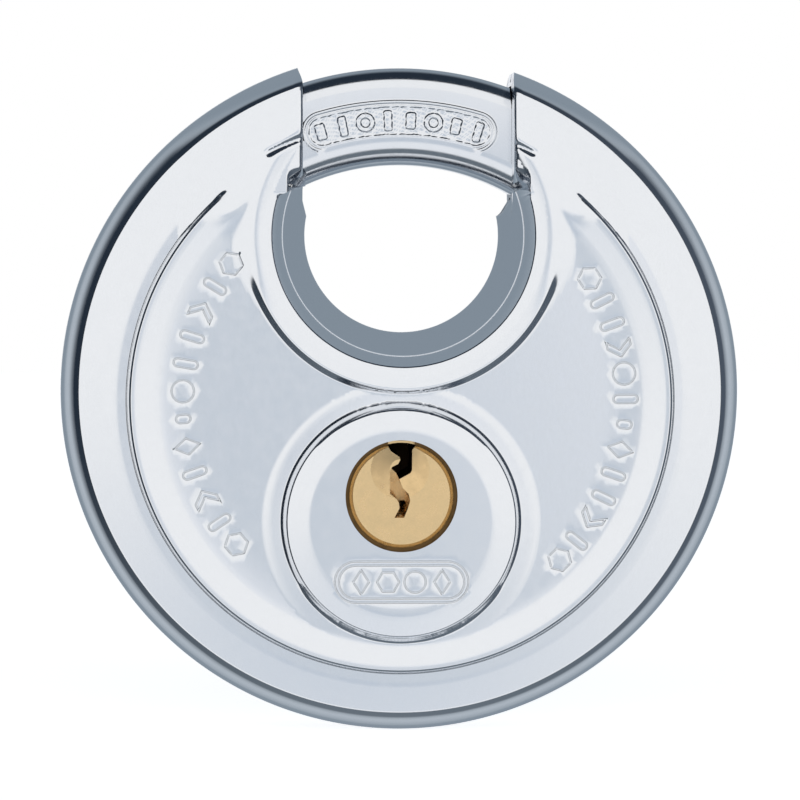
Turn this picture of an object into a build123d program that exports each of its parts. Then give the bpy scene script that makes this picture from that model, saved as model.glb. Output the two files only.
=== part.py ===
from build123d import *
import os
from math import atan2, cos, degrees, radians, sin

# Round disc padlock: two drawn stainless cups welded rim to rim, a hardened arc that turns about the disc's
# centre, and a pin-tumbler cylinder whose plug swings the arc through an eccentric pin and a slotted fork.
#
# Millimetres. +Z up towards the shackle, front face towards -Y, +X to the right seen from the front.
# The origin is on the shackle's turning axis, on the flat rear face.
# Everything is drawn about the seam between the two cups (y = 0 there) and moved by SEAM_Y when written.

# ---- driving dimensions -------------------------------------------------------------------------------
DISC_R = 35.0  # outside of the rim
SHEET = 1.4  # wall of both cups
RIM_DEPTH = 8.5  # seam to the flat outer ring, front and rear
DISC_DEPTH = 11.0  # seam to the raised inner disc, front and rear
BOSS_DEPTH = 13.2  # seam to the front of the boss
RIM_EDGE_R = 1.6  # rounding between rim and outer ring
SEAM_Y = -DISC_DEPTH  # so that the rear face is at y = 0
SEAM_GAP = 0.05  # butt joint between the cups, each side
WELD_HALF = 0.4  # half width of the seam band round the rim
WELD_DEPTH = 0.9

STEP_Z = -0.8  # the raised disc is set a little low
STEP_FOOT_R = 29.2
STEP_EDGE_R = 27.6

BOSS_Z = -13.1
BOSS_FOOT_R = 13.5
BOSS_EDGE_R = 11.75

THROAT_X = 0.3
THROAT_Z = 16.1
THROAT_MID_R = 10.0  # at the seam
THROAT_FACE_R = 13.4  # at the face of the raised disc
THROAT_LIP = 1.0  # bevel where the throat meets the face
LINER_DEPTH = 7.6  # half width of the throat liner
LINER_WALL = 1.5
LINER_TOP_Z = 18.1  # above this the liner is cut back flush with the gap

GAP_LEFT = -10.0
GAP_RIGHT = 11.6

ARC_R = 28.4  # centre line of the shackle
BAR_WIDE = 10.0  # the shackle's bar across the arc
BAR_DEEP = 9.4  # and front to back, slightly flattened
BAR_CORNER_R = 2.0
TUNNEL_GAP = 0.25  # clearance round the bar where it enters the casing
TOE_DEG = 129.0  # from +X towards +Z, the end that leaves the left lobe
HEEL_DEG = -67.5

PLUG_Z = -10.4
PLUG_R = 5.3
PLUG_HOLE_R = 5.7  # hole in the front cup
PLUG_FRONT = -12.6
PLUG_REAR = 1.6
PLUG_COLLAR_R = 6.2
PLUG_BEVEL = 0.35
RUNNING = 0.05  # radial clearance of running fits

BODY_R = 8.0  # round part of the cylinder body
BODY_FRONT = -10.4
BODY_REAR = 1.5
HOUSING_HALF = 3.4  # half width of the pin housing
HOUSING_BOTTOM = -22.3

PIN_COUNT = 5
PIN_PITCH = 2.2
PIN_FIRST_Y = -8.6
PIN_R = 0.9
KEY_PIN_LENGTHS = (2.9, 2.4, 3.1, 2.6, 2.2)
DRIVER_PIN_LENGTH = 2.6
SHEAR_GAP = 0.02
SPRING_WIRE_R = 0.16
SPRING_COIL_R = 0.68
SPRING_TURNS = 4.5
COVER_T = 0.6

DRIVER_R = 9.6
DRIVER_FRONT = 1.8
DRIVER_REAR = 3.6
DRIVE_PIN_R = 2.0
DRIVE_PIN_END = 6.9
DRIVE_PIN_E = 7.28  # from the plug's axis
TONGUE = 4.0  # square tail of the plug
TONGUE_END = 3.0

CORE_R = 23.1
CORE_FRONT = -9.5
CORE_REAR = 3.8
FORK_FRONT = 4.0
FORK_REAR = 6.6
FORK_HALF = 5.3
FORK_IN_R = 11.6
FORK_OUT_R = 32.6
FORK_DEG = -55.0  # fork's centre line at rest, level with the drive pin
SLOT_HALF = 2.35
SLOT_END_R = 18.1  # centre of the slot's round end
RIVET_R = 1.5
RIVET_RS = (25.4, 31.0)
RIVET_FRONT = -1.0

GUIDE_IN_R = 23.4
GUIDE_OUT_R = 33.3
GUIDE_NEAR = 5.2
GUIDE_FAR = 7.0
BACK_R = 26.0
BACK_FRONT = 7.1
BACK_REAR = 9.5
DOWEL_R = 1.5
DOWELS = ((-15.5, 8.0), (15.5, 8.0), (-17.8, -7.5), (17.8, -7.5))
DOWEL_FRONT = -4.0

# Keyway section seen from the front, from the plug's axis: a wide slot open at the top, a step, then a
# narrow warded leg.
KEYWAY = (
    (-1.34, 5.60), (1.40, 5.60), (1.40, 5.05), (1.10, 4.68), (1.10, 2.60), (0.94, 2.29), (-0.20, 1.67),
    (0.11, 0.84), (0.73, 0.22), (0.89, -0.50), (0.63, -1.34), (0.27, -2.22), (-0.72, -2.22), (-0.20, -1.24),
    (-0.26, -0.72), (-0.51, -0.31), (-1.16, 0.22), (-1.14, 2.50), (-0.93, 2.92), (-0.31, 3.22),
    (-0.10, 3.64), (-0.20, 3.96), (-0.72, 4.31), (-1.09, 4.58), (-1.34, 5.05),
)
KEYWAY_END = 0.9
ENTRY_R = 3.0  # countersink of the key entry
ENTRY_FLOOR_R = 1.0
ENTRY_DEPTH = 0.9
ENTRY_UP = 2.7


# ---- shape helpers ------------------------------------------------------------------------------------
def disc(radius, y0, y1, x=0.0, z=0.0):
    """Round plate across Y."""
    return Pos(x, (y0 + y1) / 2, z) * Rot(90, 0, 0) * Cylinder(radius, y1 - y0)


def cone(front_r, rear_r, y0, y1, x=0.0, z=0.0):
    """Frustum along Y, front_r at y0 and rear_r at y1."""
    return Pos(x, (y0 + y1) / 2, z) * Rot(90, 0, 0) * Cone(rear_r, front_r, y1 - y0)


def block(x0, x1, y0, y1, z0, z1):
    """Box between two corners."""
    return Pos((x0 + x1) / 2, (y0 + y1) / 2, (z0 + z1) / 2) * Box(x1 - x0, y1 - y0, z1 - z0)


def polar(radius, angle_deg):
    """X and Z of a point at a radius and an angle from +X towards +Z."""
    return radius * cos(radians(angle_deg)), radius * sin(radians(angle_deg))


def sector(start_deg, end_deg, y0, y1, radius=60.0):
    """Wedge about the Y axis between two angles, counted from +X towards +Z."""
    half = (end_deg - start_deg) / 2
    steps = max(1, int(half // 40) + 1)
    points = [(0.0, 0.0)]
    for i in range(2 * steps + 1):
        points.append(polar(radius, start_deg + i * half / steps))
    return across(Polyline(*points, close=True), y0, y1)


def across(outline, y0, y1):
    """Prism between two Y planes of an outline drawn with (x, z)."""
    plane = Plane(origin=(0, y0, 0), x_dir=(1, 0, 0), z_dir=(0, -1, 0))
    return extrude(plane * make_face(outline), amount=-(y1 - y0))


def together(solids):
    """Separate solids as one shape."""
    group = solids[0]
    for solid in solids[1:]:
        group += solid
    return group


def rear_side(shape):
    """The same shape on the other side of the seam."""
    return mirror(shape, about=Plane.XZ)


def ring_arc(inner_r, outer_r, y0, y1, start_deg, end_deg):
    """Flat piece of a ring about the Y axis."""
    ring = disc(outer_r, y0, y1) - disc(inner_r, y0 - 1, y1 + 1)
    return ring & sector(start_deg, end_deg, y0 - 1, y1 + 1)


# ---- voids that several parts share -------------------------------------------------------------------
def throat_cone(extra):
    """Front half of the throat's funnel, wider by extra, reaching past the boss."""
    slope = (THROAT_FACE_R - THROAT_MID_R) / DISC_DEPTH
    reach = BOSS_DEPTH + 1.0
    return cone(THROAT_MID_R + slope * reach + extra, THROAT_MID_R + extra, -reach, 0.0, THROAT_X, THROAT_Z)


def throat_void(extra):
    """Both halves of the funnel."""
    half = throat_cone(extra)
    return half + rear_side(half)


def lip_bevel():
    """The bevel that breaks the throat's front edge."""
    face_r = THROAT_FACE_R + THROAT_LIP
    return cone(face_r + 1.0, THROAT_FACE_R - THROAT_LIP, -DISC_DEPTH - 1.0, -DISC_DEPTH + THROAT_LIP,
                THROAT_X, THROAT_Z)


def gap_void(extra, bottom):
    """The straight gap that the shackle bridges."""
    return block(GAP_LEFT - extra, GAP_RIGHT + extra, -20, 20, bottom, 60)


def arc_ring(gap):
    """Full ring along the shackle's path, wider all round by gap."""
    outline = RectangleRounded(BAR_WIDE + 2 * gap, BAR_DEEP + 2 * gap, BAR_CORNER_R + gap)
    return revolve(Pos(ARC_R, 0, 0) * outline, axis=Axis.Y)


# ---- casing -------------------------------------------------------------------------------------------
def cup(radius, depth, edge_r, step_off, step_depth):
    """Round cup with its raised disc, as a solid in front of the seam."""
    rim = disc(radius, -depth, 0.0)
    front = rim.edges().filter_by(GeomType.CIRCLE).sort_by(Axis.Y)[0]
    rim = fillet(front, edge_r)
    return rim + cone(STEP_EDGE_R - step_off, STEP_FOOT_R - step_off, -step_depth, -depth, 0.0, STEP_Z)


def shell(with_boss):
    """One drawn cup, in front of the seam."""
    outer = cup(DISC_R, RIM_DEPTH, RIM_EDGE_R, 0.0, DISC_DEPTH)
    inner = cup(DISC_R - SHEET, RIM_DEPTH - SHEET, 0.4, 0.9, DISC_DEPTH - SHEET)
    if with_boss:
        outer += cone(BOSS_EDGE_R, BOSS_FOOT_R, -BOSS_DEPTH, -DISC_DEPTH, 0.0, BOSS_Z)
        boss_back = -DISC_DEPTH + SHEET
        inner += cone(BOSS_EDGE_R - 0.9, BOSS_FOOT_R - 0.9, -BOSS_DEPTH + SHEET, boss_back, 0.0, BOSS_Z)
    flange = throat_cone(SHEET) - block(-60, 60, -LINER_DEPTH - 0.1, 1, -60, 60)
    cavity = inner - flange - gap_void(SHEET, LINER_TOP_Z + SEAM_GAP)
    result = outer - cavity - throat_cone(0.0) - lip_bevel() - gap_void(0.0, THROAT_Z)
    result -= arc_ring(TUNNEL_GAP)
    result -= block(-60, 60, -SEAM_GAP, 1, -60, 60)
    result -= weld_ring(0.01)
    seat = LINER_DEPTH + SEAM_GAP
    result -= throat_void(LINER_WALL + SEAM_GAP) & block(-30, 30, -seat, seat, -10, 40)
    if with_boss:
        result -= disc(PLUG_HOLE_R, -20, -5, 0.0, PLUG_Z)
    return result


def front_shell():
    return main_solid(shell(True))


def rear_shell():
    return main_solid(rear_side(shell(False)))


def main_solid(shape):
    """The largest solid of a shape."""
    return shape.solids().sort_by(SortBy.VOLUME)[-1]


def weld_ring(margin):
    """Band round the rim at the seam, larger by margin inwards."""
    half = WELD_HALF + margin
    return disc(DISC_R, -half, half) - disc(DISC_R - WELD_DEPTH - margin, -1, 1)


def rim_weld():
    """Seam band let into the rim."""
    return weld_ring(0.0) - gap_void(0.0, 0.0)


def throat_liner():
    """V-shaped band round the throat, its arms cut back for the gap and the shackle."""
    wall = throat_void(LINER_WALL) - throat_void(0.0)
    wall &= block(-30, 30, -LINER_DEPTH, LINER_DEPTH, -10, 40)
    wall -= gap_void(0.0, LINER_TOP_Z)
    return main_solid(wall - arc_ring(TUNNEL_GAP))


# ---- fixed inner parts --------------------------------------------------------------------------------
def core_block():
    """Solid core that holds the cylinder and guides the inside of the arc."""
    core = disc(CORE_R, CORE_FRONT, CORE_REAR)
    core -= throat_void(LINER_WALL + 0.1)
    core -= gap_void(SHEET + 0.1, THROAT_Z)
    core -= disc(BODY_R + RUNNING, -20, DRIVER_FRONT, 0.0, PLUG_Z)
    pocket = HOUSING_HALF + RUNNING
    core -= block(-pocket, pocket, -20, BODY_REAR + RUNNING, HOUSING_BOTTOM - RUNNING, PLUG_Z)
    core -= disc(DRIVER_R + 0.2, BODY_REAR + 0.1, 10, 0.0, PLUG_Z)
    for x, z in DOWELS:
        core -= disc(DOWEL_R + 0.01, DOWEL_FRONT, 10, x, z)
    return main_solid(core)


def back_plate():
    """Plate that closes the mechanism behind the fork."""
    plate = disc(BACK_R, BACK_FRONT, BACK_REAR, 0.0, STEP_Z)
    plate -= throat_void(SHEET + 0.2)
    plate -= gap_void(SHEET + 0.2, THROAT_Z)
    for x, z in DOWELS:
        plate -= disc(DOWEL_R + 0.01, 5, 10, x, z)
    return main_solid(plate)


def dowel_pins():
    """Dowels between the core block and the back plate."""
    return together([disc(DOWEL_R, DOWEL_FRONT + 0.05, BACK_REAR - 0.1, x, z) for x, z in DOWELS])


def front_guide_ring():
    """Wear ring in front of the arc, open at the gap."""
    ring = disc(GUIDE_OUT_R, -GUIDE_FAR, -GUIDE_NEAR) - disc(GUIDE_IN_R, -10, 0)
    ring -= throat_void(LINER_WALL + 0.1)
    return main_solid(ring - gap_void(SHEET + 0.2, 0.0))


def rear_guide(start_deg, end_deg):
    """Wear pad behind the arc."""
    pad = ring_arc(GUIDE_IN_R, GUIDE_OUT_R, GUIDE_NEAR, GUIDE_FAR, start_deg, end_deg)
    pad -= throat_void(LINER_WALL + 0.1)
    return main_solid(pad - gap_void(SHEET + 0.2, 0.0))


def anti_drill_plate():
    """Hardened washer in the boss round the plug's collar."""
    plate = disc(10.4, -11.7, -10.5, 0.0, BOSS_Z + 0.1)
    return plate - disc(PLUG_COLLAR_R + 0.1, -20, 0, 0.0, PLUG_Z)


# ---- cylinder -----------------------------------------------------------------------------------------
def pin_y(index):
    return PIN_FIRST_Y + index * PIN_PITCH


def pin_column(radius, index, z0, z1):
    """Upright round bar in one pin chamber."""
    return Pos(0, pin_y(index), (z0 + z1) / 2) * Cylinder(radius, z1 - z0)


def cylinder_body():
    """Brass body with the pin housing below the plug."""
    body = disc(BODY_R, BODY_FRONT, BODY_REAR, 0.0, PLUG_Z)
    body += block(-HOUSING_HALF, HOUSING_HALF, CORE_FRONT, BODY_REAR, HOUSING_BOTTOM, PLUG_Z)
    body -= disc(PLUG_R + RUNNING, -20, 10, 0.0, PLUG_Z)
    cover_top = HOUSING_BOTTOM + COVER_T
    for i in range(PIN_COUNT):
        body -= pin_column(PIN_R + RUNNING, i, cover_top - 1.0, PLUG_Z)
    body -= block(-1.35, 1.35, CORE_FRONT - 1, BODY_REAR - 0.6, HOUSING_BOTTOM - 1, cover_top)
    return main_solid(body)


def chamber_cover():
    """Strip that closes the pin chambers."""
    low = HOUSING_BOTTOM
    return block(-1.34, 1.34, CORE_FRONT + 0.02, BODY_REAR - 0.62, low, low + COVER_T - 0.01)


def plug():
    """Brass plug with collar, keyway, key entry, pin holes and square tail."""
    body = disc(PLUG_R, PLUG_FRONT, PLUG_REAR, 0.0, PLUG_Z)
    front = body.edges().filter_by(GeomType.CIRCLE).sort_by(Axis.Y)[0]
    body = chamfer(front, PLUG_BEVEL)
    body += disc(PLUG_COLLAR_R, -11.55, -10.6, 0.0, PLUG_Z)
    half = TONGUE / 2
    body += block(-half, half, PLUG_REAR - 0.1, TONGUE_END, PLUG_Z - half, PLUG_Z + half)
    outline = Polyline(*[(x, z + PLUG_Z) for x, z in KEYWAY], close=True)
    body -= across(outline, PLUG_FRONT - 1, KEYWAY_END)
    entry_front = PLUG_FRONT - 0.01
    body -= cone(ENTRY_R, ENTRY_FLOOR_R, entry_front, entry_front + ENTRY_DEPTH, -0.15, PLUG_Z + ENTRY_UP)
    for i in range(PIN_COUNT):
        body -= pin_column(PIN_R + RUNNING, i, PLUG_Z - PLUG_R - 1, PLUG_Z - 1.2)
    body -= disc(1.0, PLUG_REAR - 0.6, TONGUE_END + 1, 0.0, PLUG_Z)
    return main_solid(body)


def key_pin(index):
    """Pointed pin that rides in the plug, its foot just inside the shear line."""
    foot = PLUG_Z - PLUG_R + SHEAR_GAP
    top = foot + KEY_PIN_LENGTHS[index]
    pin = pin_column(PIN_R, index, foot, top)
    tip = pin.edges().filter_by(GeomType.CIRCLE).sort_by(Axis.Z)[-1]
    pin = chamfer(tip, 0.45)
    # The foot follows the plug's round so that the plug can turn.
    return pin & disc(PLUG_R, -20, 10, 0.0, PLUG_Z)


def driver_pin_top():
    return PLUG_Z - PLUG_R - RUNNING - 0.02


def driver_pin(index):
    """Spring-loaded pin below the shear line."""
    top = driver_pin_top()
    pin = pin_column(PIN_R, index, top - DRIVER_PIN_LENGTH, top)
    foot = pin.edges().filter_by(GeomType.CIRCLE).sort_by(Axis.Z)[0]
    pin = chamfer(foot, 0.2)
    # The head follows the plug's round.
    return pin - disc(PLUG_R + RUNNING + 0.02, -20, 10, 0.0, PLUG_Z)


def pin_spring(index):
    """Coil spring below one driver pin."""
    z0 = HOUSING_BOTTOM + COVER_T + SPRING_WIRE_R + 0.02
    z1 = driver_pin_top() - DRIVER_PIN_LENGTH - SPRING_WIRE_R - 0.02
    path = Helix(pitch=(z1 - z0) / SPRING_TURNS, height=z1 - z0, radius=SPRING_COIL_R)
    start = Plane(origin=path @ 0, z_dir=path % 0)
    coil = sweep(start * Circle(SPRING_WIRE_R), path=path)
    return Pos(0, pin_y(index), z0) * coil


def driver():
    """Round cam plate on the plug's tail."""
    plate = disc(DRIVER_R, DRIVER_FRONT, DRIVER_REAR, 0.0, PLUG_Z)
    hole = TONGUE / 2 + 0.02
    plate -= block(-hole, hole, 0, 5, PLUG_Z - hole, PLUG_Z + hole)
    plate -= disc(3.0, TONGUE_END, 5, 0.0, PLUG_Z)
    return plate - disc(DRIVE_PIN_R + 0.01, 0, 5, DRIVE_PIN_E, PLUG_Z)


def drive_pin():
    """Eccentric pin that swings the fork."""
    return disc(DRIVE_PIN_R, DRIVER_FRONT, DRIVE_PIN_END, DRIVE_PIN_E, PLUG_Z)


def driver_screw():
    """Screw that holds the driver on the plug."""
    head = disc(2.8, TONGUE_END + 0.02, DRIVER_REAR, 0.0, PLUG_Z)
    head -= block(-2.0, 2.0, DRIVER_REAR - 0.25, 5, PLUG_Z - 0.3, PLUG_Z + 0.3)
    return head + disc(0.97, PLUG_REAR - 0.5, TONGUE_END + 0.1, 0.0, PLUG_Z)


# ---- shackle ------------------------------------------------------------------------------------------
def fork_frame():
    """Where the fork's own outline, drawn with radius along local X, lies at rest."""
    return Rot(0, -FORK_DEG, 0)


def shackle():
    """Round arc with a flat behind its heel for the fork."""
    arc = arc_ring(0.0) & sector(HEEL_DEG, TOE_DEG, -8, 8)
    seat = block(20, 40, FORK_FRONT - 0.01, 8, -FORK_HALF - 0.6, FORK_HALF + 0.6)
    seat += block(20, 40, FORK_FRONT - 0.01, 8, -12, 0)
    arc -= fork_frame() * seat
    for r in RIVET_RS:
        arc -= fork_frame() * disc(RIVET_R + 0.01, RIVET_FRONT - 0.02, 8, r, 0.0)
    return main_solid(arc)


def drive_fork():
    """Slotted plate riveted behind the heel."""
    plate = block(FORK_IN_R, FORK_OUT_R, FORK_FRONT, FORK_REAR, -FORK_HALF, FORK_HALF)
    plate -= block(0, SLOT_END_R, 0, 10, -SLOT_HALF, SLOT_HALF)
    plate -= disc(SLOT_HALF, 0, 10, SLOT_END_R, 0.0)
    for r in RIVET_RS:
        plate -= disc(RIVET_R + 0.01, 0, 10, r, 0.0)
    return fork_frame() * plate


def fork_rivets():
    """Two rivets through the fork into the heel."""
    return together([fork_frame() * disc(RIVET_R, RIVET_FRONT, FORK_REAR + 0.2, r, 0.0) for r in RIVET_RS])


# ---- write --------------------------------------------------------------------------------------------
def parts():
    """Every node by name."""
    nodes = {
        "front_shell": front_shell(),
        "rear_shell": rear_shell(),
        "rim_weld": rim_weld(),
        "throat_liner": throat_liner(),
        "core_block": core_block(),
        "back_plate": back_plate(),
        "dowel_pins": dowel_pins(),
        "front_guide_ring": front_guide_ring(),
        "rear_guide_left": rear_guide(112.0, 214.0),
        "rear_guide_right": rear_guide(-34.0, 64.0),
        "anti_drill_plate": anti_drill_plate(),
        "cylinder_body": cylinder_body(),
        "chamber_cover": chamber_cover(),
        "plug": plug(),
        "driver": driver(),
        "drive_pin": drive_pin(),
        "driver_screw": driver_screw(),
        "shackle": shackle(),
        "drive_fork": drive_fork(),
        "fork_rivets": fork_rivets(),
    }
    for i in range(PIN_COUNT):
        nodes[f"key_pin_{i + 1}"] = key_pin(i)
        nodes[f"driver_pin_{i + 1}"] = driver_pin(i)
        nodes[f"pin_spring_{i + 1}"] = pin_spring(i)
    return nodes


os.makedirs("parts", exist_ok=True)
for name, shape in parts().items():
    export_step(Pos(0, SEAM_Y, 0) * shape, f"parts/{name}.step")
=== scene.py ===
from math import acos, asin, ceil, cos, hypot, pi, radians, sin, sqrt

import bpy
import numpy as np
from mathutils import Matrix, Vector
from mathutils.geometry import delaunay_2d_cdt


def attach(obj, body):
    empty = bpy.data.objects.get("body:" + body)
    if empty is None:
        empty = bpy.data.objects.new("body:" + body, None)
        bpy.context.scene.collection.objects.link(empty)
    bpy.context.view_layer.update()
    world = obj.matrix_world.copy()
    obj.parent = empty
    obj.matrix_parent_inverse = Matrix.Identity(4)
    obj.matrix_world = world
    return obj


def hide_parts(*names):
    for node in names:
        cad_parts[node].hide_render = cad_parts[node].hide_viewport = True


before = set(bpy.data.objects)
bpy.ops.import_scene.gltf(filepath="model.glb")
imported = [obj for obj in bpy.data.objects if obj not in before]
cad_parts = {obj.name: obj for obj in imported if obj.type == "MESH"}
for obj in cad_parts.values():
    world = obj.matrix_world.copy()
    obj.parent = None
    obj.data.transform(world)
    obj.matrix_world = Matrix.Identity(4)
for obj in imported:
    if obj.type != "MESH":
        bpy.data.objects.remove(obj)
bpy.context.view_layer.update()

# Shapes are drawn in millimetres about the seam between the two cups: x to the right, z up, and depth, which
# grows from the seam towards the viewer on the front cup and away from the viewer on the rear cup.
MM = 0.001
SEAM_Y_MM = -11.0

DISC_R = 35.0
FACE_END_R = 32.6  # outline of the face's own patch
ROLL_START_R = 32.85
# The rolled edge between the face and the rim, as (radius, slope in degrees).
ROLL = ((ROLL_START_R, 10), (33.0, 26), (33.55, 48), (34.4, 60), (34.85, 72), (DISC_R, 84))
RING_DEPTH = 8.6  # outer ring at STEP_FOOT_R
RING_SLOPE = -0.11
WELD_HALF = 0.42  # the cups end this far from the seam at the rim
STEP_Z = -0.8
BOSS_Z = -13.1
PLUG_Z = -10.4
PLUG_HOLE_R = 5.7
PLUG_HOLE_SPACING = 0.25
PLUG_FACE_R = 5.25
KEYWAY_DARK_UP = 1.7  # the keyway is painted dark as shade this far above the plug's middle
THROAT_X, THROAT_Z = 0.3, 16.1
THROAT_MID_R, THROAT_SLOPE = 10.0, 0.309  # the liner's radius at the seam, and its growth with depth
LIP_R = 13.4
FLANGE_END = 7.7
GAP_X = (-10.0, 11.6)
GAP_FLARE = (0.6, 0.35)  # how far each side of the gap spreads at the rim
GAP_FLARE_Z = (31.5, 33.9)
FACET_LOW_Z = 20.9  # where the facet beside the gap ends above the throat
ARC_R, BAR_HALF_WIDE, BAR_HALF_DEEP, BAR_CORNER = 28.4, 5.0, 4.7, 2.0
BAR_INNER_CORNER = 2.8
TUNNEL_GAP = 0.25  # round the bar, where it enters the casing
SEAM_CLEAR = 0.06  # the gap's faces stop this far from the seam
TOE_DEG, HEEL_DEG = 129.0, -67.5
LINER_TOP_Z = 18.1
LINER_DEPTH, LINER_WALL = 7.6, 1.5
SHEET_SHOWN = 0.7  # thickness given to the cups' skins
COLUMNS = 372  # steps round the rim
ROLL_STEPS = 4  # steps between two places of ROLL
STEP_SPACING = 0.0145  # between points of a ring, as a share of its radius
THROAT_SPACING = 0.02
BOSS_SPACING = 0.028
LIP_COLUMNS = 240  # steps round the throat
LIP_END_STEPS = 12  # of them, on each side where the edge turns in to the gap
LIP_LEAVE_Z = 19.7  # where it leaves the circle
JOIN_STEP = 0.0002  # points this close become one
NORMAL_STEP = 0.012  # distance over which the face's slope is measured


# ---- curves and profiles ----
def bend(x, at, soft, change):
    """A change of slope at one place, spread over +-soft."""
    t = x - at
    inside = np.square(t + soft) / (4 * soft)
    return change * np.where(t < -soft, 0.0, np.where(t > soft, t, inside))


def rounded_profile(x, knots):
    """Line through (place, height) knots with its corners rounded by each knot's third value."""
    (x0, y0, _), (x1, y1, _) = knots[:2]
    slope = (y1 - y0) / (x1 - x0)
    y = y0 + slope * (x - x0)
    for i in range(1, len(knots) - 1):
        a, b = knots[i], knots[i + 1]
        following = (b[1] - a[1]) / (b[0] - a[0])
        y = y + bend(x, a[0], a[2], following - slope)
        slope = following
    return y


def smooth_max(a, b, soft):
    """The greater of two heights, with the corner between them rounded."""
    h = np.clip(0.5 + 0.5 * (a - b) / soft, 0.0, 1.0)
    return b + (a - b) * h + soft * h * (1 - h)


def smooth_step(x, low, high):
    """0 below low, 1 above high and smooth between."""
    t = np.clip((x - low) / (high - low), 0.0, 1.0)
    return t * t * (3 - 2 * t)


# Profiles are (radius, depth, rounding) knots about the centre of the step or of the throat.
RING_AT_STEP = RING_DEPTH + 0.10
STEP_PROFILE = (
    (0.0, 10.42, 0), (22.5, 10.38, 1.5), (24.9, 10.50, 0.5), (27.05, 10.93, 0.25), (27.55, 10.95, 0.06),
    (27.76, 10.78, 0.05), (28.08, RING_AT_STEP + 0.02, 0.09), (29.2, RING_AT_STEP, 0.2),
    (40.0, RING_AT_STEP + 10.8 * RING_SLOPE, 0),
)
CORNER_PROFILE = (
    (0.0, 10.42, 0), (22.5, 10.38, 1.5), (25.2, 10.74, 0.6), (26.0, 10.80, 0.6), (33.0, 8.30, 0.2),
    (40.0, 7.5, 0),
)
LIP_PROFILE = (
    (13.0, 9.9, 0), (13.42, 10.60, 0.14), (14.2, 10.84, 0.4), (15.75, 11.0, 0.16), (16.35, 10.35, 0.2),
    (17.6, 9.6, 0.6), (22.0, 6.0, 0),
)
LIP_SIDE_PROFILE = (
    (13.0, 9.9, 0), (13.42, 10.60, 0.14), (14.2, 10.84, 0.4), (15.3, 10.95, 0.5), (17.5, 10.40, 0.6),
    (30.0, 6.4, 0),
)
REAR_STEP_PROFILE = (
    (0.0, 11.0, 0), (27.3, 11.0, 0.25), (27.7, 10.8, 0.16), (28.1, 9.75, 0.14), (28.6, 9.05, 0.3),
    (29.3, RING_AT_STEP, 0.4), (40.0, RING_AT_STEP + 10.7 * RING_SLOPE, 0),
)
REAR_LIP_PROFILE = (
    (13.0, 9.2, 0), (13.35, 9.95, 0.12), (13.75, 10.5, 0.25), (14.7, 10.9, 0.5), (15.6, 11.0, 0.3),
    (17.0, 11.0, 0.6), (19.0, 9.6, 0.8), (22.0, 6.0, 0),
)
GAP_ROUND = 0.4
FACET_WIDE, FACET_FADE_Z = 1.65, (22.0, 26.8)
FACET_STEEP, FACET_EASE, FACET_EASE_Z = 1.9, 1.6, (20.9, 23.2)
FACET_SOFT = 0.12
STRAIGHT_Z = 19.5  # above this the throat's edge and the facet run straight up beside the gap
ABOVE_Z = (14.0, 17.0)  # the corners beside the gap are shaped only above this
CORNER_DEG = (42.0, 51.0)  # where the step softens towards the gap
VALLEY_BELOW = (0.1, 0.6)  # where the lip's foot sharpens below the throat
LIP_END_R = (14.9, 15.5)  # from the lip to the face
LIP_BLEND, BOSS_BLEND = 0.12, 0.15
# A short dent where the step meets the gap.
DENT_R, DENT_WIDE, DENT_DEEP, DENT_DEG = 28.7, 0.34, 0.32, (60.5, 62.5)


def gap_away(x):
    """Distance from the gap's planes, positive on the face."""
    return np.where(x < 0, GAP_X[0] - x, x - GAP_X[1])


def gap_drop(x, z):
    """How far the edge beside the gap is rounded off."""
    t = np.where(z > THROAT_Z, np.clip(GAP_ROUND - gap_away(x), 0.0, GAP_ROUND), 0.0)
    return GAP_ROUND - np.sqrt(np.maximum(GAP_ROUND ** 2 - t ** 2, 0.0))


def facet_drop(x, z):
    """Facet beside the gap, widest and steepest above the throat."""
    wide = FACET_WIDE * (1 - smooth_step(z, *FACET_FADE_Z))
    steep = FACET_STEEP - FACET_EASE * smooth_step(z, *FACET_EASE_Z)
    inside = np.maximum(wide - gap_away(x), 0.0)
    return np.where(z > STRAIGHT_Z, steep * inside * inside / (inside + FACET_SOFT), 0.0)


def boss_depth(x, z):
    """The raised boss, with a softer brow at its top and a softer foot at its bottom."""
    r = np.hypot(x, z - BOSS_Z)
    up = (z - BOSS_Z) / np.maximum(r, 1e-6)
    brow = 0.04 + 0.33 * smooth_step(up, 0.45, 0.95) + 0.05 * smooth_step(-up, 0.2, 0.9)
    foot = 0.05 + 0.45 * smooth_step(-up, 0.2, 0.95)
    knots = (
        (0.0, 13.02, 0), (9.45, 13.0, 0.3), (11.7, 12.68, brow), (12.18, 10.54, foot), (13.7, 10.46, 0.3),
        (14.3, 10.3, 0.3), (15.4, 8.3, 0.5), (30.0, -20.0, 0),
    )
    return rounded_profile(r, knots)


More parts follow.
